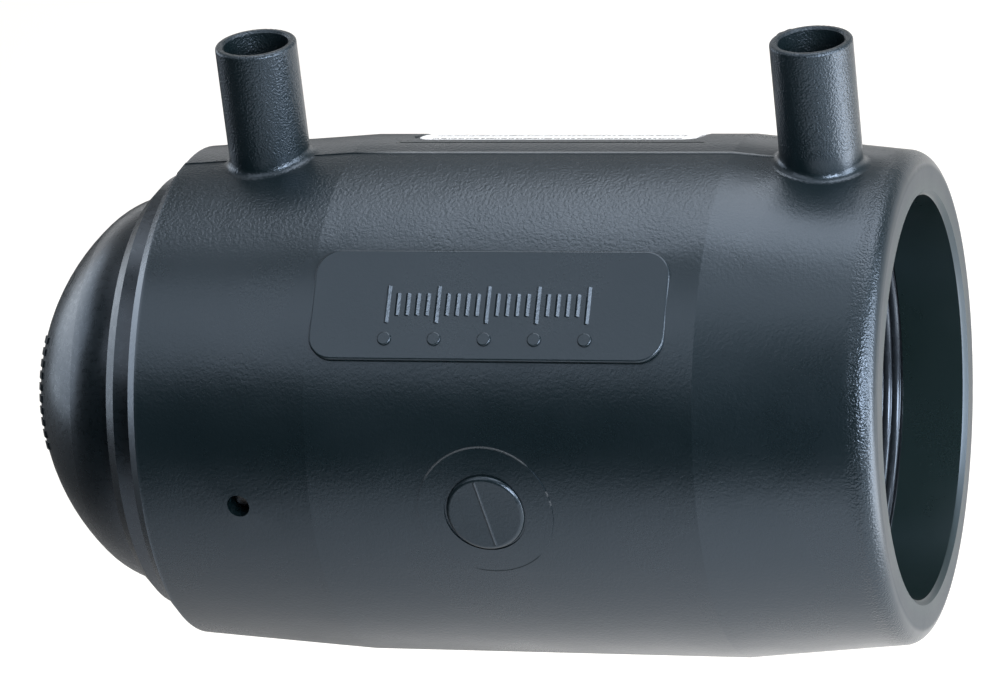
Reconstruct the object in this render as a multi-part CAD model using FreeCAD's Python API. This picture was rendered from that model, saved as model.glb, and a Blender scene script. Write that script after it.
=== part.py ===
import FreeCAD, Part
import math
import os

# Electrofusion end cap for polyethylene pipe: a moulded coupler body with a heating coil in its bore, closed
# at one end by a domed spigot cap.
# Frame: the origin is the centre of the open mouth's face. +X points out of the mouth, +Z along the two
# terminal shrouds, and the front, with the marking pad and the gate mark, looks along -Y.
# All sizes are in millimetres. An angle round the axis counts from +Z towards -Y.

# Pipe that the socket takes, how it fits, and how the spigot of the same size fits the other end
pipe_radius = 31.5
pipe_clearance = 0.4
spigot_clearance = 0.02

# Coupler body
body_length = 119.6
barrel_wall = 9.6
mouth_end_wall = 6.8
cap_end_wall = 7.6
mouth_taper_length = 27.6
cap_taper_length = 30.1
mouth_edge_round = 3.0
cap_edge_bevel = 1.6
bore_chamfer = 0.8
stop_width = 3.0
stop_height = 1.5
parting_ridge_height = 0.12
parting_ridge_width = 0.4

# Heating coil, wound from coated wire in two zones with a straight link between them
wire_diameter = 1.4
wire_pitch = 1.46
zone_turns = 15
cold_length = 10.7
ridge_depth = 0.6
coil_clearance = 0.05
link_radius = 0.5

# Terminal shrouds and the pins in them
shroud_radius = 6.5
shroud_wall = 1.3
shroud_rise = 18.8
shroud_depth = 15.0
shroud_foot_round = 1.3
shroud_rim_round = 0.5
shroud_bevel = 0.35
mouth_shroud_inset = 13.5
cap_shroud_inset = 16.1
terminal_radius = 2.0
terminal_below_rim = 3.6
terminal_tip_round = 0.6
collar_radius = 3.2
collar_thickness = 1.6

# Angle of the gate mark and of the indicators round the axis, a little below the middle of a side
side_angle = 92.0

# Fusion indicators, one for each coil zone
indicator_inset = 18.0
well_radius = 1.85
well_floor_wall = 1.2
indicator_radius = 1.4
indicator_below_surface = 2.6
indicator_tip_round = 0.5

# Flat marking pad, with a plain scale of raised ticks
pad_angle = 46.6
pad_mouth_gap = 4.6
pad_cap_gap = 0.5
pad_width = 18.0
pad_rise = 0.1
pad_edge_round = 0.4
pad_corner_round = 4.0
tick_count = 21
tick_pitch = 1.6
tick_width = 0.8
long_tick = 6.0
short_tick = 3.6
long_tick_step = 5
tick_rise = 0.35
stud_radius = 1.1
stud_rise = 0.35
stud_edge_round = 0.25
stud_drop = 5.6

# Gate mark: a trimmed disc in a narrow groove, inside a thin witness circle
gate_cap_shift = 1.4
gate_radius = 6.3
gate_rise = 0.35
gate_edge_round = 0.7
gate_groove_width = 0.3
gate_groove_depth = 0.1
witness_radius = 10.8
witness_rise = 0.15
nip_width = 0.6
nip_rise = 0.1
nip_angle = 12.0

# Label and the shallow recess that it is stuck in
recess_front_angle = -9.7
recess_span = 58.0
recess_mouth_gap = 7.0
recess_cap_gap = 7.3
recess_depth = 0.35
recess_corner_round = 3.0
label_margin = 0.9
label_thickness = 0.2

# Spigot cap
spigot_end_gap = 0.5
spigot_wall = 5.8
spigot_lead = 1.0
flange_step = 4.4
flange_depth = 5.3
flange_bevel = 1.8
dome_step = 0.5
dome_height = 23.4
dome_offset = 2.9
dome_knuckle = 16.0
dome_wall = 5.8
dome_bar_count = 10
dome_bar_pitch = 1.9
dome_bar_width = 1.1
dome_bar_length = 4.0
dome_bar_rise = 0.25
dome_bar_forward = 14.2
dome_bar_up = 5.5
dome_bar_tilt = 19.0

# Sizes that follow from those above
bore_radius = pipe_radius + pipe_clearance
barrel_radius = bore_radius + barrel_wall
mouth_end_radius = bore_radius + mouth_end_wall
cap_end_radius = bore_radius + cap_end_wall
straight_length = body_length - mouth_taper_length - cap_taper_length
grip_radius = pipe_radius + spigot_clearance
coil_outer_radius = bore_radius + wire_diameter
grip_coil_radius = grip_radius + wire_diameter
seat_depth = wire_diameter + coil_clearance
link_place = grip_coil_radius - link_radius
well_floor = bore_radius + seat_depth + well_floor_wall
zone_length = zone_turns * wire_pitch
link_length = body_length - 2 * (cold_length + zone_length)
shroud_rim = barrel_radius + shroud_rise
shroud_floor = shroud_rim - shroud_depth
mouth_shroud_x = -mouth_shroud_inset
cap_shroud_x = cap_shroud_inset - body_length
middle_x = -body_length / 2
gate_x = middle_x - gate_cap_shift
half_stop = stop_width / 2
spigot_inner_radius = pipe_radius - spigot_wall
flange_radius = cap_end_radius - flange_step
dome_radius = pipe_radius + dome_step
dome_x = -body_length - dome_offset
pad_face = barrel_radius + pad_rise
pad_inset = mouth_taper_length + pad_mouth_gap
pad_length = straight_length - pad_mouth_gap - pad_cap_gap
recess_floor = barrel_radius - recess_depth
recess_inset = mouth_taper_length + recess_mouth_gap
recess_length = straight_length - recess_mouth_gap - recess_cap_gap

# Spare length by which a cutting or joining shape runs past the surface that it meets
over = 3.0

# Margin for telling an edge by its place
edge_margin = 0.05

# Angles round the axis
FULL_TURN = 360.0

TINY = 1e-6
vector = FreeCAD.Vector
AXIS = vector(1, 0, 0)
CENTRE = vector(0, 0, 0)
UP = vector(0, 0, 1)


def in_section(x, radius):
    """Point of the section plane through the axis."""
    return vector(x, 0, radius)


def in_plan(x, across):
    """Point of a flat outline seen along +Z."""
    return vector(x, across, 0)


def rounded_outline(corners, place):
    """Closed wire through corners (u, v, rounding radius)."""
    points = [place(u, v) for u, v, _ in corners]
    count = len(points)
    starts = []
    ends = []
    middles = []
    for i, (_, _, rounding) in enumerate(corners):
        here = points[i]
        back = (points[i - 1] - here).normalize()
        ahead = (points[(i + 1) % count] - here).normalize()
        half = back.getAngle(ahead) / 2
        reach = rounding / math.tan(half)
        starts.append(here + back * reach)
        ends.append(here + ahead * reach)
        inward = back + ahead
        if rounding > 0:
            inward.normalize()
            middles.append(here + inward * (rounding / math.sin(half) - rounding))
        else:
            middles.append(here)
    edges = []
    for i in range(count):
        if corners[i][2] > 0:
            edges.append(Part.Arc(starts[i], middles[i], ends[i]).toShape())
        edges.append(Part.makeLine(ends[i], starts[(i + 1) % count]))
    return Part.Wire(edges)


def turned(wire):
    """Solid of revolution about the axis from a closed section."""
    return Part.Face(wire).revolve(CENTRE, AXIS, FULL_TURN)


def upright(radius, low, high):
    """Cylinder about the Z axis between two heights."""
    return Part.makeCylinder(radius, high - low, vector(0, 0, low), UP)


def top_edges(solid, top):
    """Edges round the flat top face of an upright solid."""
    return [edge for edge in solid.Edges if edge.BoundBox.ZMin > top - edge_margin]


def rounded_top(solid, top, rounding):
    """Upright solid with the edge of its top face rounded."""
    return solid.makeFillet(rounding, top_edges(solid, top))


def prism(outline, low, high):
    """Flat outline raised from one height to another."""
    face = Part.Face(outline)
    face.translate(vector(0, 0, low))
    return face.extrude(vector(0, 0, high - low))


def rectangle(length, width, corner_round):
    """Rounded rectangle about the Z axis, its length along X."""
    half_x = length / 2
    half_y = width / 2
    signs = ((-1, -1), (1, -1), (1, 1), (-1, 1))
    return rounded_outline([(sx * half_x, sy * half_y, corner_round) for sx, sy in signs], in_plan)


def put(shape, x, angle):
    """Copy of a shape built about +Z, carried along the axis to x and turned round it by the angle."""
    placed = shape.copy()
    placed.rotate(CENTRE, AXIS, angle)
    placed.translate(vector(x, 0, 0))
    return placed


def outer_radius(x):
    """Outside radius of the body at x."""
    if x > -mouth_taper_length:
        return mouth_end_radius - (barrel_radius - mouth_end_radius) * x / mouth_taper_length
    from_cap = x + body_length
    if from_cap < cap_taper_length:
        return cap_end_radius + (barrel_radius - cap_end_radius) * from_cap / cap_taper_length
    return barrel_radius


def outer_corners(rise):
    """Corners of the body's outside line from the mouth to the cap end, raised above the surface."""
    bevel_start = cap_edge_bevel - body_length
    return [
        (0, mouth_end_radius + rise, mouth_edge_round),
        (-mouth_taper_length, barrel_radius + rise, 0),
        (cap_taper_length - body_length, barrel_radius + rise, 0),
        (bevel_start, outer_radius(bevel_start) + rise, 0),
        (-body_length, cap_end_radius - cap_edge_bevel + rise, 0),
    ]


def bore_step(first, last, before, radius, after):
    """Corners of a groove or a ring in the bore's line, and the radii of the bore on either side of it."""
    return [(first, before, 0), (first, radius, 0), (last, radius, 0), (last, after, 0)]


def shell():
    """Turned body with its bore, the seats of the two coil zones and the stop ring between them."""
    cap_seat = cold_length - body_length
    mouth_seat = -cold_length - zone_length
    corners = outer_corners(0)
    corners += [(-body_length, grip_radius + bore_chamfer, 0), (bore_chamfer - body_length, grip_radius, 0)]
    corners += bore_step(cap_seat, cap_seat + zone_length, grip_radius, grip_radius + seat_depth, grip_radius)
    corners += bore_step(
        middle_x - half_stop, middle_x + half_stop, grip_radius, bore_radius - stop_height, bore_radius
    )
    corners += bore_step(mouth_seat, -cold_length, bore_radius, bore_radius + seat_depth, bore_radius)
    corners += [(-bore_chamfer, bore_radius, 0), (0, bore_radius + bore_chamfer, 0)]
    return turned(rounded_outline(corners, in_section))


def link_groove():
    """Straight groove, open to the mouth side's bore, for the wire that links the two coil zones."""
    start = vector(middle_x - link_length / 2, 0, -link_place)
    radius = link_radius + coil_clearance
    groove = Part.makeCylinder(radius, link_length, start, AXIS)
    depth = link_place - bore_radius + coil_clearance
    slot = Part.makeBox(link_length, 2 * radius, depth, start + vector(0, -radius, 0))
    return groove.fuse(slot)


def with_shrouds(body):
    """Body joined to its two shrouds, with a rounded foot round each."""
    base = bore_radius + (barrel_radius - bore_radius) / 2
    for x in (mouth_shroud_x, cap_shroud_x):
        tube = upright(shroud_radius, base, shroud_rim)
        body = body.fuse(put(rounded_top(tube, shroud_rim, shroud_rim_round), x, 0))
        foot = [edge for edge in body.Edges if is_foot(edge, x)]
        body = body.makeFillet(shroud_foot_round, foot)
    return body


def is_foot(edge, x):
    """Whether an edge is the line where the shroud at x meets the body."""
    box = edge.BoundBox
    reach = shroud_radius + edge_margin
    beside = box.XMin > x - reach and box.XMax < x + reach
    inside = box.YMin > -reach and box.YMax < reach
    level = box.ZMin > bore_radius and box.ZMax < barrel_radius + edge_margin
    return beside and inside and level


def parting_ridges():
    """Thin raised line that the mould halves leave along the top and the bottom, from the mouth side's shroud."""
    root = (bore_radius + barrel_radius) / 2
    start_height = outer_radius(mouth_shroud_x) + parting_ridge_height
    corners = [(mouth_shroud_x, root, 0), (mouth_shroud_x, start_height, 0)]
    corners += outer_corners(parting_ridge_height)[1:] + [(-body_length, root, 0)]
    face = Part.Face(rounded_outline(corners, in_section))
    face.translate(vector(0, -parting_ridge_width / 2, 0))
    ridge = face.extrude(vector(0, parting_ridge_width, 0))
    return [ridge, put(ridge, 0, FULL_TURN / 2)]


def ridge(length, width, rise, foot):
    """Ridge with a roof-shaped section, along Y, on a flat face at the height of its foot."""
    half = width / 2
    section = [(-half, foot - over), (half, foot - over), (half, foot), (0, foot + rise), (-half, foot)]
    corners = [vector(x, -length / 2, z) for x, z in section + section[:1]]
    return Part.Face(Part.makePolygon(corners)).extrude(vector(0, length, 0))


def marking_pad():
    """Flat pad with rounded corners and top edges, and its scale of plain raised ticks and round studs."""
    root = barrel_radius - over
    plate = prism(rectangle(pad_length, pad_width, pad_corner_round), root, pad_face)
    pieces = [rounded_top(plate, pad_face, pad_edge_round)]
    for i in range(tick_count):
        length = short_tick if i % long_tick_step else long_tick
        along = (i - (tick_count - 1) / 2) * tick_pitch
        tick = ridge(length, tick_width, tick_rise, pad_face)
        tick.translate(vector(along, 0, 0))
        pieces.append(tick)
        if i % long_tick_step == 0:
            top = pad_face + stud_rise
            stud = rounded_top(upright(stud_radius, pad_face - over, top), top, stud_edge_round)
            stud.translate(vector(along, -stud_drop, 0))
            pieces.append(stud)
    pad = pieces[0].multiFuse(pieces[1:])
    return put(pad, -pad_inset - pad_length / 2, pad_angle)


def with_gate_mark(body):
    """Body with the trimmed gate disc, its groove, the witness circle and the nipped ridge."""
    root = barrel_radius - over
    top = barrel_radius + gate_rise
    skin = Part.makeCylinder(barrel_radius + witness_rise, body_length, vector(-body_length, 0, 0), AXIS)
    witness = put(upright(witness_radius, root, top), gate_x, side_angle).common(skin)
    ring = upright(gate_radius + gate_groove_width, root, top + over)
    core = Part.makeCylinder(barrel_radius - gate_groove_depth, body_length, vector(-body_length, 0, 0), AXIS)
    groove = put(ring, gate_x, side_angle).cut(core)
    disc = upright(gate_radius, root, top)
    disc = rounded_top(disc, top, gate_edge_round)
    chord = 2 * (gate_radius - gate_edge_round)
    nip = ridge(chord, nip_width, nip_rise, top)
    nip.rotate(CENTRE, UP, nip_angle)
    disc = put(disc.fuse(nip), gate_x, side_angle)
    return body.fuse(witness).cut(groove).fuse(disc)


def sector(inset, length, low, high, front_angle, span, corner_round):
    """Curved plate on the barrel, between two radii, that runs back from its front edge."""
    corners = [(-inset, low, 0), (-inset, high, 0), (-inset - length, high, 0), (-inset - length, low, 0)]
    face = Part.Face(rounded_outline(corners, in_section))
    face.rotate(CENTRE, AXIS, front_angle - span)
    plate = face.revolve(CENTRE, AXIS, span)
    sides = [edge for edge in plate.Edges if abs(edge.Length - (high - low)) < TINY]
    return plate.makeFillet(corner_round, sides)


def shroud_hollow():
    """Inside of a shroud about +Z, with a bevel at the rim."""
    radius = shroud_radius - shroud_wall
    reach = shroud_bevel + over
    bevel = Part.makeCone(radius, radius + reach, reach, vector(0, 0, shroud_rim - shroud_bevel), UP)
    return upright(radius, shroud_floor, shroud_rim + over).fuse(bevel)


def terminal_places():
    """Place of the terminal on the mouth side and of the one on the cap side, with their coils' radii."""
    return ((mouth_shroud_x, coil_outer_radius), (cap_shroud_x, grip_coil_radius))


def terminal(foot):
    """Terminal pin about +Z, from its foot on the coil to its tip, with the collar that holds it."""
    tip = shroud_rim - terminal_below_rim
    shaft = upright(terminal_radius, foot, tip)
    shaft = rounded_top(shaft, tip, terminal_tip_round)
    return shaft.fuse(upright(collar_radius, shroud_floor - collar_thickness, shroud_floor)).removeSplitter()


def indicator(x):
    """Indicator pin about +Z for the well at x."""
    tip = outer_radius(x) - indicator_below_surface
    pin = upright(indicator_radius, well_floor, tip)
    return rounded_top(pin, tip, indicator_tip_round)


def coupler_body():
    """The whole moulded body."""
    body = with_shrouds(shell())
    body = body.multiFuse(parting_ridges() + [marking_pad()])
    body = with_gate_mark(body)
    recess = sector(
        recess_inset, recess_length, recess_floor, barrel_radius + over, recess_front_angle, recess_span,
        recess_corner_round,
    )
    cuts = [recess, link_groove()]
    for x, foot in terminal_places():
        cuts.append(put(shroud_hollow(), x, 0))
        cuts.append(put(terminal(foot), x, 0))
    for x, angle in indicator_places():
        cuts.append(put(upright(well_radius, well_floor, barrel_radius + over), x, angle))
    return body.cut(cuts)


def indicator_places():
    """Place of the indicator on the cap side, at the front, and of the one on the mouth side, at the back."""
    return ((indicator_inset - body_length, side_angle), (-indicator_inset, -side_angle))


def coil_zone(first, inner_radius):
    """One wound zone from x = first towards the cap: a closed sleeve with a ridge for each turn."""
    outer = inner_radius + wire_diameter
    valley = inner_radius + ridge_depth
    corners = [(first - zone_length, outer, 0), (first, outer, 0)]
    for i in range(zone_turns):
        start = first - i * wire_pitch
        corners.append((start, valley, 0))
        corners.append((start - wire_pitch / 2, inner_radius, 0))
    corners.append((first - zone_length, valley, 0))
    return turned(rounded_outline(corners, in_section))


def heating_coil():
    """Both zones and the straight wire that links them."""
    bite = ridge_depth / 2
    start = vector(middle_x - link_length / 2 - bite, 0, -link_place)
    link = Part.makeCylinder(link_radius, link_length + 2 * bite, start, AXIS)
    mouth_zone = coil_zone(-cold_length, bore_radius)
    cap_zone = coil_zone(cold_length + zone_length - body_length, grip_radius)
    return mouth_zone.multiFuse([cap_zone, link])


def crown_radius(radius, height, knuckle):
    """Radius of the crown that closes a dome of this base radius, height and knuckle radius."""
    return (height**2 + (radius - knuckle) ** 2 - knuckle**2) / (2 * (height - knuckle))


def dome_edges(radius, height, knuckle, start_x):
    """Section of a dome from start_x to its tip: an arc for the knuckle, then one for the crown."""
    crown = crown_radius(radius, height, knuckle)
    crown_x = dome_x - height + crown
    ring = radius - knuckle
    turn = math.atan2(crown_x - dome_x, ring)
    first = math.asin((dome_x - start_x) / knuckle)
    knuckle_points = []
    crown_points = []
    for share in (0, 0.5, 1):
        angle = first + (turn - first) * share
        knuckle_points.append(in_section(dome_x - knuckle * math.sin(angle), ring + knuckle * math.cos(angle)))
        angle = turn + (math.pi / 2 - turn) * share
        crown_points.append(in_section(crown_x - crown * math.sin(angle), crown * math.cos(angle)))
    crown_points[-1] = in_section(dome_x - height, 0)
    return [Part.Arc(*knuckle_points).toShape(), Part.Arc(*crown_points).toShape()]


def dome_bars():
    """Row of plain raised bars across the front of the dome's crown."""
    crown = crown_radius(dome_radius, dome_height, dome_knuckle)
    centre = vector(dome_x - dome_height + crown, 0, 0)
    skin = Part.makeSphere(crown + dome_bar_rise, centre).cut(Part.makeSphere(crown - dome_wall / 2, centre))
    bars = []
    for i in range(dome_bar_count):
        along = (i - (dome_bar_count - 1) / 2) * dome_bar_pitch
        bar = Part.makeBox(dome_height, dome_bar_length, dome_bar_width)
        bar.translate(vector(dome_x - dome_height - over, -dome_bar_length / 2, along - dome_bar_width / 2))
        bar.rotate(CENTRE, AXIS, -dome_bar_tilt)
        bar.translate(vector(0, -dome_bar_forward, dome_bar_up))
        bars.append(bar.common(skin))
    return bars


def spigot_cap():
    """Plug with a hollow spigot inside the body, a flange against the body's end and a domed end."""
    seat = -body_length
    nose = seat - flange_depth
    open_end = middle_x - half_stop - spigot_end_gap
    nose_reach = math.sqrt(dome_knuckle**2 - (dome_x - nose) ** 2)
    inner_height = dome_height - dome_wall
    points = [
        (nose, dome_radius - dome_knuckle + nose_reach),
        (nose, flange_radius - flange_bevel),
        (nose + flange_bevel, flange_radius),
        (seat, flange_radius),
        (seat, pipe_radius),
        (open_end - spigot_lead, pipe_radius),
        (open_end, pipe_radius - spigot_lead),
        (open_end, spigot_inner_radius),
        (dome_x, spigot_inner_radius),
    ]
    edges = [Part.makePolygon([in_section(x, radius) for x, radius in points])]
    edges += dome_edges(spigot_inner_radius, inner_height, dome_knuckle - dome_wall, dome_x)
    edges.append(Part.makeLine(vector(dome_x - inner_height, 0, 0), vector(dome_x - dome_height, 0, 0)))
    edges += dome_edges(dome_radius, dome_height, dome_knuckle, nose)
    outline = Part.Wire(Part.__sortEdges__([edge for item in edges for edge in item.Edges]))
    return turned(outline).multiFuse(dome_bars())


def label():
    """Thin label on the floor of its recess."""
    margin_angle = math.degrees(label_margin / recess_floor)
    return sector(
        recess_inset + label_margin, recess_length - 2 * label_margin, recess_floor,
        recess_floor + label_thickness, recess_front_angle - margin_angle, recess_span - 2 * margin_angle,
        recess_corner_round - label_margin,
    )


def save(name, shape):
    """Writes one node's solid."""
    shape.exportStep("parts/" + name + ".step")
    print(name, len(shape.Solids), "solid", round(shape.Volume, 1), "mm3", shape.isValid())


os.makedirs("parts", exist_ok=True)
save("coupler_body", coupler_body())
save("spigot_cap", spigot_cap())
save("heating_coil", heating_coil())
mouth_terminal, cap_terminal = terminal_places()
save("terminal_pin_mouth_side", put(terminal(mouth_terminal[1]), mouth_terminal[0], 0))
save("terminal_pin_cap_side", put(terminal(cap_terminal[1]), cap_terminal[0], 0))
cap_indicator, mouth_indicator = indicator_places()
save("fusion_indicator_cap_side", put(indicator(cap_indicator[0]), *cap_indicator))
save("fusion_indicator_mouth_side", put(indicator(mouth_indicator[0]), *mouth_indicator))
save("label", label())
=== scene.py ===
import bpy
import math
from mathutils import Matrix, Vector


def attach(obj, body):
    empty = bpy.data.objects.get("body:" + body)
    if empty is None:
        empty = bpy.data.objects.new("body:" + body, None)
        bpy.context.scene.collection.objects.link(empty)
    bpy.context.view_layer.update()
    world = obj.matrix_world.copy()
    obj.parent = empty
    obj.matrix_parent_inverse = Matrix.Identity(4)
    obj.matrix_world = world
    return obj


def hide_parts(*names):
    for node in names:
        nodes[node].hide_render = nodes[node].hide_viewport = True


# Electrofusion end cap in black polyethylene, seen from the front and a little from above.
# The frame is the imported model's: +X out of the open mouth, +Z along the terminal shrouds, front along -Y.
# Sizes are in metres, and an angle round the axis counts from +Z towards -Y. The pairs of values below are
# the ends of smooth blends, apart from CIRCLE_DOTS, the bearings of two dots.
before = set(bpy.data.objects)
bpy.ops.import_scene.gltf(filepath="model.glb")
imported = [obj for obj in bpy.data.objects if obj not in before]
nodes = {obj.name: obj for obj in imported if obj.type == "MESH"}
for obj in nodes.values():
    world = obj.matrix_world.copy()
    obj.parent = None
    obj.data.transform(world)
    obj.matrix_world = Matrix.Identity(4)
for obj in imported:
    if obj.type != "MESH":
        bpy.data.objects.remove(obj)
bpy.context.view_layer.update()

# Camera
CAMERA_AZIMUTH = 17.68
CAMERA_ELEVATION = 23.19
CAMERA_ROLL = -6.59
CAMERA_DISTANCE = 0.9125
CAMERA_TARGET = Vector((-0.06897, 0.0, 0.00814))
CAMERA_LENS = 205.36
SENSOR_WIDTH = 36.0

# Body sizes that the materials and the added pieces follow
BODY_LENGTH = 0.1196
BORE_RADIUS = 0.0319
GRIP_RADIUS = 0.03152
BARREL_RADIUS = 0.0415
SHROUD_RADIUS = 0.0065
SHROUD_RIM = 0.0603
MOUTH_SHROUD_X = -0.0135

# Heating coil
WIRE_DIAMETER = 0.0014
WIRE_PITCH = 0.00146
ZONE_TURNS = 15
COLD_LENGTH = 0.0107
RIDGE_DEPTH = 0.0006
LINK_RADIUS = 0.0005

# Curl of flash on the mouth side's shroud
FLASH_MIDDLE = math.radians(140.0)
FLASH_SPREAD = math.radians(34.0)
FLASH_SIZE = 0.00034
FLASH_STAND_OFF = 0.00005
FLASH_BELOW_RIM = 0.00045

# Where the body's finishes change: distances from the axis, places along it, heights and angles
SKIN_RADII = (0.0335, 0.0350)
FLAT_RING_RADII = (0.0362, 0.0370)
FACE_PLACES = (-0.0002, -0.0010)
LIP_PLACES = (-0.0060, -0.0030)
# Along the body's end edge, where doubled gloss paints a highlight on the rounding
END_EDGE_HIGHLIGHT_PLACES = (0.0022 - BODY_LENGTH, 0.0014 - BODY_LENGTH)
SHROUD_HEIGHTS = (0.0418, 0.0436)
TOP_GRAIN_ANGLES = (0.75, 0.40)
TOP_GRAIN_PLACES = (-0.020, -0.032)

# Moulded grain: fine on the barrel, stronger on its top, and finest and strongest on the shrouds and the lip
GRAIN_SCALE = 2000.0
GRAIN_STRENGTH = 0.16
TOP_GRAIN_STRENGTH = 0.40
GRIT_SCALE = 3000.0
GRIT_STRENGTH = 0.55
GRAIN_DEPTH = 0.00022
WAVE_DEPTH = 0.00012

# Marks on the barrel: the nip across the gate mark, the broken circle round it, the parting line, and the
# line that the label's mould insert leaves. Highlights are painted on the nip, on the parting line and on the
# circle's upper arc and dots. Painted shade dulls the circle's lower arc and the insert's line.
GATE_X = -0.0612
GATE_ANGLE = math.radians(92.0)
GATE_FACE_RADII = (0.0052, 0.0056)
NIP_SLOPE = math.tan(math.radians(12.0))
NIP_WIDTHS = (0.0, 0.00024)
CIRCLE_RADIUS = 0.0108
CIRCLE_WIDTHS = (0.0, 0.00022)
CIRCLE_HIGHLIGHT_ARC = ((0.78, 0.92), (2.64, 2.50))
CIRCLE_SHADE_ARC = ((-1.90, -1.75), (-0.70, -0.85))
CIRCLE_DOTS = (0.33, 0.18)
CIRCLE_DOT_LENGTHS = (0.03, 0.05)
PARTING_ENDS = ((-0.090, -0.080), (-0.019, -0.022))
PARTING_WIDTHS = (0.004, 0.008)
INSERT_ANGLE = -0.125
INSERT_WIDTHS = (0.004, 0.010)
INSERT_LENGTHS = (0.0248, 0.0256)

# Label and the grey bars on it. Their front angle counts from +Z towards the back.
LABEL_MIDDLE_X = -0.0584
BARS_FRONT_ANGLE = 0.20
BARS_HALF_LENGTH = 0.0205
ROW_PITCH = 0.0034
BAR_HALF_SHARE = 0.19
DASH_SCALE = 2400.0
DASH_THRESHOLD = 0.47

# Gloss of the plastics
GLOSS_IOR = 1.66
GLOSS_TINT = (0.67, 0.80, 1.0, 1.0)

# Studio: the floor lies below the part, which is held by its socket, and the lamps look at the part
FLOOR_DROP = 0.16
FLOOR_SIZE = 12.0
FLOOR_GLOW = 0.86
FLOOR_LEFT_EDGE = (-0.45, -0.20)
LAMP_AIM = Vector((-0.06, 0.0, 0.0))
COOL = (0.80, 0.90, 1.0)
FAINTLY_COOL = (0.92, 0.96, 1.0)
SLIGHTLY_COOL = (0.90, 0.95, 1.0)

# Edges of the floor's glowing patches, which only reflections see as painted reflections: behind the part,
# below it, where the left edge runs aslant, and beyond the mouth
BEHIND_EDGE = (0.25, 0.6)
BELOW_FRONT_EDGE = (-1.02, -0.45)
BELOW_LEFT_EDGE = (-0.26, -0.15)
BELOW_SLOPE = 0.5
BELOW_BRIGHTER_PLACES = (-0.19, -0.05)
BELOW_BRIGHTNESS = (0.52, 1.12)
BEYOND_LEFT_EDGE = (0.20, 0.36)
BEYOND_HALF_WIDTHS = (0.30, 0.15)
BEYOND_BRIGHTNESS = 7.0


class Graph:
    """A node tree with short ways to add nodes and join them."""

    def __init__(self, tree):
        self.tree = tree
        tree.nodes.clear()

    def add(self, kind, inputs=None, **settings):
        node = self.tree.nodes.new(kind)
        for name, value in settings.items():
            setattr(node, name, value)
        for name, value in (inputs or {}).items():
            self.put(node.inputs[name], value)
        return node

    def put(self, socket, value):
        if isinstance(value, bpy.types.NodeSocket):
            self.tree.links.new(value, socket)
        else:
            socket.default_value = value

    def math(self, operation, first, second=0.0):
        node = self.add("ShaderNodeMath", operation=operation)
        self.put(node.inputs[0], first)
        self.put(node.inputs[1], second)
        return node.outputs[0]

    def times(self, product, *factors):
        for factor in factors:
            product = self.math("MULTIPLY", product, factor)
        return product

    def highest(self, best, *others):
        for other in others:
            best = self.math("MAXIMUM", best, other)
        return best

    def off(self, value, middle):
        """How far a value is from a middle."""
        return self.math("ABSOLUTE", self.math("SUBTRACT", value, middle))

    def length(self, first, second):
        """Length of a flat vector."""
        return self.math("SQRT", self.math("ADD", self.times(first, first), self.times(second, second)))

    def split(self, vector):
        """X, Y and Z of a vector."""
        node = self.add("ShaderNodeSeparateXYZ", {"Vector": vector})
        return node.outputs["X"], node.outputs["Y"], node.outputs["Z"]

    def span(self, value, low, high, first=0.0, last=1.0):
        """Value mapped smoothly from low..high to first..last and held outside."""
        node = self.add(
            "ShaderNodeMapRange",
            {"Value": value, "From Min": low, "From Max": high, "To Min": first, "To Max": last},
            interpolation_type="SMOOTHSTEP",
        )
        return node.outputs["Result"]

    def near(self, value, middle, full, none):
        """One up to full away from the middle, and falling to zero at none."""
        return self.span(self.off(value, middle), full, none, 1.0, 0.0)

    def between(self, value, start, end):
        """One between two blends and zero outside them."""
        return self.times(self.span(value, *start), self.span(value, *end))

    def noise(self, place, scale, detail=2.0, roughness=0.5):
        node = self.add(
            "ShaderNodeTexNoise", {"Vector": place, "Scale": scale, "Detail": detail, "Roughness": roughness}
        )
        return node.outputs["Fac"]

    def stretched(self, place, scales):
        """Place stretched along the axes, for lines instead of spots."""
        return self.add("ShaderNodeMapping", {"Vector": place, "Scale": scales}).outputs["Vector"]

    def bump(self, height, strength, depth, normal=None):
        """Normal tilted by a relief, on top of an earlier normal if there is one."""
        node = self.add("ShaderNodeBump", {"Strength": strength, "Distance": depth, "Height": height})
        if normal is not None:
            self.put(node.inputs["Normal"], normal)
        return node.outputs["Normal"]

    def blend(self, share, first, second):
        """Colour between two colours."""
        node = self.add("ShaderNodeMix", data_type="RGBA")
        self.put(node.inputs["Factor"], share)
        self.put(node.inputs["A"], first)
        self.put(node.inputs["B"], second)
        return node.outputs["Result"]


def colour(red, green, blue):
    return (red, green, blue, 1.0)


def new_material(name):
    material = bpy.data.materials.new(name)
    material.use_nodes = True
    graph = Graph(material.node_tree)
    place = graph.add("ShaderNodeTexCoord").outputs["Object"]
    return material, graph, place


def finish_material(graph, inputs):
    shader = graph.add("ShaderNodeBsdfPrincipled", inputs)
    output = graph.add("ShaderNodeOutputMaterial")
    graph.put(output.inputs["Surface"], shader.outputs["BSDF"])


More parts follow.
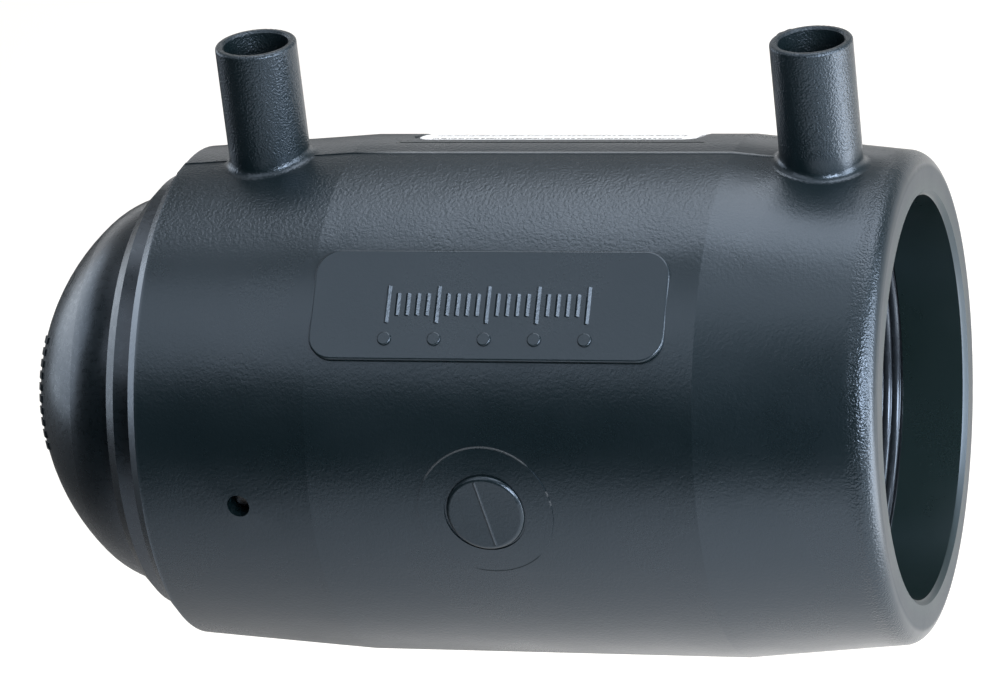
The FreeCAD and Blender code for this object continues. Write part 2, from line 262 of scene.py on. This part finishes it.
def gate_marks(graph, x, angle):
    """Masks of the circle's upper arc and dots, where a highlight is painted, of its lower arc, dulled as
    painted shade, and of the nip across the gate mark.
    """
    along = graph.math("SUBTRACT", x, GATE_X)
    across = graph.times(graph.math("SUBTRACT", angle, GATE_ANGLE), BARREL_RADIUS)
    reach = graph.length(along, across)
    bearing = graph.math("ARCTAN2", graph.times(across, -1.0), along)
    circle = graph.near(reach, CIRCLE_RADIUS, *CIRCLE_WIDTHS)
    dots = [graph.near(bearing, middle, *CIRCLE_DOT_LENGTHS) for middle in CIRCLE_DOTS]
    pale = graph.times(circle, graph.highest(graph.between(bearing, *CIRCLE_HIGHLIGHT_ARC), *dots))
    dark = graph.times(circle, graph.between(bearing, *CIRCLE_SHADE_ARC))
    on_face = graph.span(reach, *GATE_FACE_RADII, 1.0, 0.0)
    nip = graph.times(graph.near(along, graph.times(across, NIP_SLOPE), *NIP_WIDTHS), on_face)
    return pale, dark, nip


def top_lines(graph, x, z, angle):
    """Masks of the parting line, which gets a painted highlight, and of the label insert's line, dulled as
    painted shade, both on the top of the barrel.
    """
    on_top = graph.span(z, 0.0, 0.01)
    parting = graph.times(graph.near(angle, 0.0, *PARTING_WIDTHS), graph.between(x, *PARTING_ENDS))
    beside_label = graph.near(x, LABEL_MIDDLE_X, *INSERT_LENGTHS)
    insert = graph.times(graph.near(angle, INSERT_ANGLE, *INSERT_WIDTHS), beside_label)
    return graph.times(parting, on_top), graph.times(insert, on_top)


def moulded_grain(graph, place, x, angle, skin, coarse):
    """Height of the barrel's grain, and the normal of a surface with grain and broad waves in it."""
    grain = graph.noise(place, GRAIN_SCALE, detail=2.0, roughness=0.6)
    grit = graph.noise(place, GRIT_SCALE, detail=1.0)
    plain = graph.math("SUBTRACT", 1.0, coarse)
    relief = graph.math("ADD", graph.times(grit, coarse), graph.times(grain, plain))
    on_top = graph.times(graph.span(angle, *TOP_GRAIN_ANGLES), graph.span(x, *TOP_GRAIN_PLACES))
    strength = graph.highest(
        graph.span(coarse, 0.0, 1.0, GRAIN_STRENGTH, GRIT_STRENGTH), graph.times(on_top, TOP_GRAIN_STRENGTH)
    )
    fine = graph.bump(relief, graph.times(skin, strength), GRAIN_DEPTH)
    waves = graph.noise(place, 170.0, detail=1.0)
    return grain, graph.bump(waves, 0.4, WAVE_DEPTH, fine)


def body_plastic():
    """Black polyethylene, grained outside, and smooth in the bore and on the mouth's flat face."""
    material, graph, place = new_material("body_plastic")
    x, y, z = graph.split(place)
    radius = graph.length(y, z)
    angle = graph.math("ARCTAN2", graph.times(y, -1.0), z)
    outside = graph.span(radius, *SKIN_RADII)
    off_face = graph.span(x, *FACE_PLACES)
    on_face = graph.span(off_face, 0.0, 1.0, 1.0, 0.0)
    flat_ring = graph.times(on_face, graph.span(radius, *FLAT_RING_RADII, 1.0, 0.0))
    on_shroud = graph.span(z, *SHROUD_HEIGHTS)
    coarse = graph.highest(on_shroud, graph.span(x, *LIP_PLACES))
    grain, normal = moulded_grain(graph, place, x, angle, graph.times(outside, off_face), coarse)
    circle_painted_highlight, circle_painted_shade, nip = gate_marks(graph, x, angle)
    parting, insert = top_lines(graph, x, z, angle)

    patches = graph.noise(place, 55.0, detail=2.0)
    tone = graph.blend(patches, colour(0.0022, 0.0062, 0.0080), colour(0.0034, 0.0086, 0.0108))
    # Painted highlight: the circle's upper arc and two dots round the gate mark are paler where the moulded
    # edge would catch the light.
    tone = graph.blend(circle_painted_highlight, tone, colour(0.060, 0.066, 0.072))
    # Painted highlight: the parting line's ridge is painted pale where it would catch the light.
    tone = graph.blend(parting, tone, colour(0.150, 0.160, 0.170))
    # Painted highlight: the nip across the gate mark is painted paler where its ridge would catch the light.
    tone = graph.blend(nip, tone, colour(0.040, 0.046, 0.052))

    roughness = graph.math("ADD", graph.span(patches, 0.3, 0.7, 0.24, 0.29), graph.times(grain, 0.06))
    roughness = graph.math("ADD", roughness, graph.times(on_shroud, 0.03))
    roughness = graph.math("ADD", roughness, graph.times(flat_ring, 0.16))

    # Painted highlight: the gloss of the body's end edge is doubled so the rounding shines brighter than the
    # lamps alone make it.
    end_edge_highlight = graph.span(x, *END_EDGE_HIGHLIGHT_PLACES)
    gloss = graph.math("ADD", graph.span(flat_ring, 0.0, 1.0, 0.5, 0.45), graph.times(end_edge_highlight, 0.5))
    # Painted shade: the circle's lower arc loses gloss so that it reads dark.
    gloss = graph.math("SUBTRACT", gloss, graph.times(circle_painted_shade, 0.40))
    # Painted shade: the insert's line in front of the label loses gloss so that it reads as a shaded groove.
    gloss = graph.math("SUBTRACT", gloss, graph.times(insert, 0.50))
    finish_material(
        graph,
        {
            "Base Color": graph.blend(outside, colour(0.006, 0.013, 0.013), tone),
            "Roughness": roughness,
            "IOR": GLOSS_IOR,
            "Specular IOR Level": gloss,
            "Specular Tint": GLOSS_TINT,
            "Normal": normal,
        },
    )
    return material


def cap_plastic():
    """Black polyethylene of the plug, smoother than the body."""
    material, graph, place = new_material("cap_plastic")
    grain = graph.noise(place, 1100.0, detail=2.0)
    waves = graph.noise(place, 120.0, detail=1.0)
    fine = graph.bump(grain, 0.12, 0.0001)
    finish_material(
        graph,
        {
            "Base Color": graph.blend(waves, colour(0.0012, 0.0034, 0.0046), colour(0.0024, 0.0054, 0.0070)),
            "Roughness": graph.span(grain, 0.2, 0.8, 0.25, 0.33),
            "IOR": GLOSS_IOR,
            "Specular Tint": GLOSS_TINT,
            "Normal": graph.bump(waves, 0.35, 0.0001, fine),
        },
    )
    return material


def coil_coating():
    """Smooth dark coating of the coil wire, with faint drag lines along the turns."""
    material, graph, place = new_material("coil_coating")
    lines = graph.noise(graph.stretched(place, (6.0, 1.0, 1.0)), 420.0, detail=2.0)
    finish_material(
        graph,
        {
            "Base Color": graph.blend(lines, colour(0.015, 0.019, 0.024), colour(0.024, 0.029, 0.036)),
            "Roughness": graph.span(lines, 0.3, 0.7, 0.20, 0.28),
            "IOR": GLOSS_IOR,
            "Specular Tint": GLOSS_TINT,
            "Normal": graph.bump(lines, 0.25, 0.00005),
        },
    )
    return material


def indicator_plastic():
    """Black plastic of the fusion indicators."""
    material, graph, place = new_material("indicator_plastic")
    grain = graph.noise(place, 1600.0, detail=2.0)
    finish_material(
        graph,
        {
            "Base Color": graph.blend(grain, colour(0.010, 0.012, 0.014), colour(0.016, 0.019, 0.022)),
            "Roughness": graph.span(grain, 0.3, 0.7, 0.25, 0.36),
            "Normal": graph.bump(grain, 0.2, 0.00008),
        },
    )
    return material


def terminal_metal():
    """Tin-plated terminal with fine turned lines and slight tarnish."""
    material, graph, place = new_material("terminal_metal")
    lines = graph.noise(graph.stretched(place, (1.0, 1.0, 9.0)), 900.0, detail=2.0)
    tarnish = graph.span(graph.noise(place, 260.0, detail=3.0), 0.45, 0.75)
    finish_material(
        graph,
        {
            "Base Color": graph.blend(tarnish, colour(0.72, 0.70, 0.66), colour(0.50, 0.44, 0.35)),
            "Metallic": 1.0,
            "Roughness": graph.span(lines, 0.3, 0.7, 0.20, 0.34),
            "Normal": graph.bump(lines, 0.15, 0.00004),
        },
    )
    return material


def grey_bars(graph, place):
    """Mask of the label's rows of bars, each row broken into dashes of its own."""
    x, y, z = graph.split(place)
    backwards = graph.math("ARCTAN2", y, z)
    rows = graph.math("DIVIDE", graph.times(backwards, BARREL_RADIUS), ROW_PITCH)
    bar = graph.math("LESS_THAN", graph.off(graph.math("FRACT", rows), 0.5), BAR_HALF_SHARE)
    along = graph.add("ShaderNodeCombineXYZ", {"X": x, "Y": graph.math("FLOOR", rows)}).outputs["Vector"]
    dashes = graph.add(
        "ShaderNodeTexNoise", {"Vector": along, "Scale": DASH_SCALE, "Detail": 1.0}, noise_dimensions="2D"
    )
    inked = graph.math("GREATER_THAN", dashes.outputs["Fac"], DASH_THRESHOLD)
    within = graph.math("LESS_THAN", graph.off(x, LABEL_MIDDLE_X), BARS_HALF_LENGTH)
    return graph.times(bar, inked, within, graph.math("GREATER_THAN", backwards, BARS_FRONT_ANGLE))


def label_film():
    """White film with rows of plain grey bars."""
    material, graph, place = new_material("label_film")
    fibre = graph.noise(place, 900.0, detail=2.0)
    paper = graph.blend(fibre, colour(0.78, 0.79, 0.80), colour(0.88, 0.89, 0.90))
    finish_material(
        graph,
        {
            "Base Color": graph.blend(grey_bars(graph, place), paper, colour(0.20, 0.20, 0.21)),
            "Roughness": graph.span(fibre, 0.3, 0.7, 0.38, 0.52),
            "Normal": graph.bump(fibre, 0.1, 0.00004),
        },
    )
    return material


def reflection_glow_patches(graph, x, y, at_right):
    """Glow of the floor's painted reflections, seen only in reflections: behind the part, below it, and
    strongest beyond the mouth.
    """
    behind = graph.times(at_right, graph.span(y, *BEHIND_EDGE))
    slant = graph.math("SUBTRACT", x, graph.times(y, BELOW_SLOPE))
    below = graph.times(
        at_right,
        graph.span(y, *BELOW_FRONT_EDGE),
        graph.span(slant, *BELOW_LEFT_EDGE),
        graph.span(x, *BELOW_BRIGHTER_PLACES, *BELOW_BRIGHTNESS),
    )
    beyond = graph.span(x, *BEYOND_LEFT_EDGE, 0.0, BEYOND_BRIGHTNESS)
    beyond = graph.times(beyond, graph.span(graph.off(y, 0.0), *BEYOND_HALF_WIDTHS))
    return graph.highest(beyond, behind, below)


def floor_paint():
    """Studio floor, dim at the left. It is white for the camera, and glows in patches that only reflections
    see, as painted reflections.
    """
    material, graph, place = new_material("floor_paint")
    mottle = graph.noise(place, 6.0, detail=2.0)
    x, y, _ = graph.split(place)
    at_right = graph.span(x, *FLOOR_LEFT_EDGE)
    rays = graph.add("ShaderNodeLightPath").outputs
    mirrored = graph.highest(rays["Is Glossy Ray"], rays["Is Transmission Ray"])
    # Painted reflections: the floor glows in patches for reflected rays only.
    glow = graph.times(mirrored, reflection_glow_patches(graph, x, y, at_right), FLOOR_GLOW)
    in_view = graph.times(rays["Is Camera Ray"], graph.span(at_right, 0.0, 1.0, 0.98, 0.80))
    pale = graph.blend(mottle, colour(0.35, 0.34, 0.33), colour(0.37, 0.36, 0.35))
    dim = graph.blend(mottle, colour(0.03, 0.03, 0.03), colour(0.04, 0.04, 0.04))
    finish_material(
        graph,
        {
            "Base Color": graph.blend(at_right, dim, pale),
            "Roughness": graph.span(mottle, 0.0, 1.0, 0.7, 0.8),
            "Emission Color": colour(1.0, 0.98, 0.95),
            "Emission Strength": graph.highest(in_view, glow),
        },
    )
    return material


def dress(name, material):
    """Gives a node its material."""
    mesh = nodes[name].data
    mesh.materials.clear()
    mesh.materials.append(material)


def new_object(name, data):
    """Object in the scene."""
    item = bpy.data.objects.new(name, data)
    bpy.context.scene.collection.objects.link(item)
    return item


def new_piece(name, points, faces, material):
    """Smooth mesh piece on the fixed body."""
    mesh = bpy.data.meshes.new(name)
    mesh.from_pydata(points, [], faces)
    mesh.polygons.foreach_set("use_smooth", [True] * len(mesh.polygons))
    mesh.materials.append(material)
    piece = new_object(name, mesh)
    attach(piece, "root")
    return piece


def round_axis(x, radius, angle):
    """Point at an angle round the axis."""
    return (x, -radius * math.sin(angle), radius * math.cos(angle))


def band_faces(low, high, around):
    """Faces between two rings of points, given by their first points."""
    faces = []
    for j in range(around):
        ahead = (j + 1) % around
        faces.append((low + j, low + ahead, high + ahead, high + j))
    return faces


def tube_faces(first, rings, around):
    """Faces of a tube with closed ends, from its rings of points."""
    last = first + (rings - 1) * around
    faces = []
    for low in range(first, last, around):
        faces += band_faces(low, low + around, around)
    faces.append(tuple(first + j for j in reversed(range(around))))
    faces.append(tuple(last + j for j in range(around)))
    return faces


def wound_zone(start_x, inner_radius, points, faces):
    """One coil zone from start_x towards the cap: a sleeve whose inside is one helical row of round turns."""
    around = 144
    steps = 10
    rings = ZONE_TURNS * steps + 1
    first = len(points)
    for i in range(rings):
        x = start_x - i * WIRE_PITCH / steps
        for j in range(around):
            share = j / around
            phase = (i / steps + share) % 1.0
            lift = 1.0 - math.sqrt(max(0.0, 1.0 - (2.0 * phase - 1.0) ** 2))
            points.append(round_axis(x, inner_radius + RIDGE_DEPTH * lift, 2 * math.pi * share))
    for x in (start_x - ZONE_TURNS * WIRE_PITCH, start_x):
        for j in range(around):
            points.append(round_axis(x, inner_radius + WIRE_DIAMETER, 2 * math.pi * j / around))
    loops = [first + i * around for i in range(rings + 2)] + [first]
    for low, high in zip(loops, loops[1:]):
        faces += band_faces(low, high, around)


def link_wire(start_x, end_x, centre_radius, points, faces):
    """Straight wire that links the two zones."""
    around = 16
    first = len(points)
    for x in (start_x, end_x):
        for j in range(around):
            angle = 2 * math.pi * j / around
            points.append((x, LINK_RADIUS * math.sin(angle), LINK_RADIUS * math.cos(angle) - centre_radius))
    faces += tube_faces(first, 2, around)


def wound_coil(material):
    """Both zones and their link, in place of the plain ridged sleeves."""
    points = []
    faces = []
    zone = ZONE_TURNS * WIRE_PITCH
    bite = RIDGE_DEPTH / 2
    wound_zone(-COLD_LENGTH, BORE_RADIUS, points, faces)
    wound_zone(COLD_LENGTH + zone - BODY_LENGTH, GRIP_RADIUS, points, faces)
    link_wire(
        -COLD_LENGTH - zone + bite,
        COLD_LENGTH + zone - BODY_LENGTH - bite,
        GRIP_RADIUS + WIRE_DIAMETER - LINK_RADIUS,
        points,
        faces,
    )
    coil = new_piece("wound_coil", points, faces, material)
    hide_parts("heating_coil")


def flash_burr(material):
    """Small curl of flash left on the outer edge of the mouth side's shroud, thin at its ends and uneven."""
    points = []
    around = 10
    rings = 9
    for i in range(rings):
        share = i / (rings - 1)
        angle = FLASH_MIDDLE + FLASH_SPREAD * (share - 0.5)
        taper = math.sin(math.pi * (0.06 + 0.88 * share))
        size = FLASH_SIZE * taper * (1.0 + 0.3 * math.sin(9.0 * share))
        outward = Vector((math.cos(angle), math.sin(angle), 0.0))
        reach = SHROUD_RADIUS + FLASH_STAND_OFF + 0.5 * size
        centre = Vector((MOUTH_SHROUD_X, 0.0, SHROUD_RIM - FLASH_BELOW_RIM)) + outward * reach
        for j in range(around):
            turn = 2 * math.pi * j / around
            rise = Vector((0.0, 0.0, 0.9 * size * math.sin(turn)))
            points.append(tuple(centre + outward * (size * math.cos(turn)) + rise))
    new_piece("flash_burr", points, tube_faces(0, rings, around), material)


def camera_axes():
    """The camera's right, up and backward directions."""
    azimuth = math.radians(CAMERA_AZIMUTH)
    elevation = math.radians(CAMERA_ELEVATION)
    roll = math.radians(CAMERA_ROLL)
    back = Vector(
        (
            math.sin(azimuth) * math.cos(elevation),
            -math.cos(azimuth) * math.cos(elevation),
            math.sin(elevation),
        )
    )
    level = Vector((math.cos(azimuth), math.sin(azimuth), 0.0))
    above = back.cross(level)
    right = level * math.cos(roll) + above * math.sin(roll)
    up = above * math.cos(roll) - level * math.sin(roll)
    return right, up, back


def add_camera():
    """Camera that stands where the photograph was taken."""
    data = bpy.data.cameras.new("camera")
    data.sensor_width = SENSOR_WIDTH
    data.lens = CAMERA_LENS
    data.clip_start = 0.05
    data.clip_end = 50.0
    camera = new_object("camera", data)
    right, up, back = camera_axes()
    turn = Matrix((right, up, back)).transposed()
    camera.matrix_world = Matrix.Translation(CAMERA_TARGET + back * CAMERA_DISTANCE) @ turn.to_4x4()
    bpy.context.scene.camera = camera


def softbox(name, place, width, height, radiance, tint=(1.0, 1.0, 1.0)):
    """Rectangular lamp, its power worked out from the brightness of its face."""
    data = bpy.data.lights.new(name, "AREA")
    data.shape = "RECTANGLE"
    data.size = width
    data.size_y = height
    data.energy = radiance * math.pi * width * height
    data.color = tint
    lamp = new_object(name, data)
    lamp.visible_camera = False
    lamp.location = place
    lamp.rotation_mode = "QUATERNION"
    lamp.rotation_quaternion = (LAMP_AIM - Vector(place)).to_track_quat("-Z", "Y")


def add_lights():
    """Lamps, each with its place, width, height, brightness and, if it isn't white, tint."""
    softbox("overhead", (0.03, 0.28, 0.93), 0.95, 0.70, 3.45)
    softbox("top_right", (0.15, -0.16, 0.94), 0.80, 0.45, 1.5)
    softbox("front_top", (-0.50, -0.60, 0.80), 0.80, 0.72, 1.55)
    softbox("top_left", (-0.62, 0.08, 0.86), 0.40, 0.50, 0.6)
    softbox("left_side", (-0.94, 0.28, 0.15), 0.66, 0.54, 1.75, COOL)
    softbox("left_low", (-0.95, 0.28, -0.16), 0.40, 0.07, 2.2, COOL)
    softbox("right_side", (0.86, -0.08, 0.20), 0.42, 0.80, 9.5, FAINTLY_COOL)
    softbox("right_front", (0.54, -0.63, 0.36), 0.46, 0.28, 24.0, SLIGHTLY_COOL)


def add_world():
    """Studio surroundings: pale low behind the part, fainter high behind it, dim in front, white in view."""
    world = bpy.data.worlds.new("studio")
    world.use_nodes = True
    graph = Graph(world.node_tree)
    _, y, z = graph.split(graph.add("ShaderNodeTexCoord").outputs["Generated"])
    behind = graph.times(graph.span(y, -0.2, 0.6), graph.span(z, 0.36, 0.10, 0.25, 1.0))
    in_view = graph.add("ShaderNodeLightPath").outputs["Is Camera Ray"]
    strength = graph.highest(graph.math("ADD", behind, 0.04), in_view)
    background = graph.add("ShaderNodeBackground", {"Color": colour(1.0, 1.0, 1.0), "Strength": strength})
    output = graph.add("ShaderNodeOutputWorld")
    graph.put(output.inputs["Surface"], background.outputs["Background"])
    bpy.context.scene.world = world


def add_floor():
    """Large square floor, there only for the picture."""
    half = FLOOR_SIZE / 2
    height = -BARREL_RADIUS - FLOOR_DROP
    mesh = bpy.data.meshes.new("floor")
    corners = [(-half, -half, height), (half, -half, height), (half, half, height), (-half, half, height)]
    mesh.from_pydata(corners, [], [(0, 1, 2, 3)])
    mesh.materials.append(floor_paint())
    floor = new_object("floor", mesh)


body_material = body_plastic()
coil_material = coil_coating()
metal = terminal_metal()
indicator_material = indicator_plastic()
dress("coupler_body", body_material)
dress("spigot_cap", cap_plastic())
dress("heating_coil", coil_material)
dress("terminal_pin_mouth_side", metal)
dress("terminal_pin_cap_side", metal)
dress("fusion_indicator_cap_side", indicator_material)
dress("fusion_indicator_mouth_side", indicator_material)
dress("label", label_film())
wound_coil(coil_material)
flash_burr(body_material)

add_camera()
add_lights()
add_world()
add_floor()
bpy.context.scene.view_settings.view_transform = "Standard"
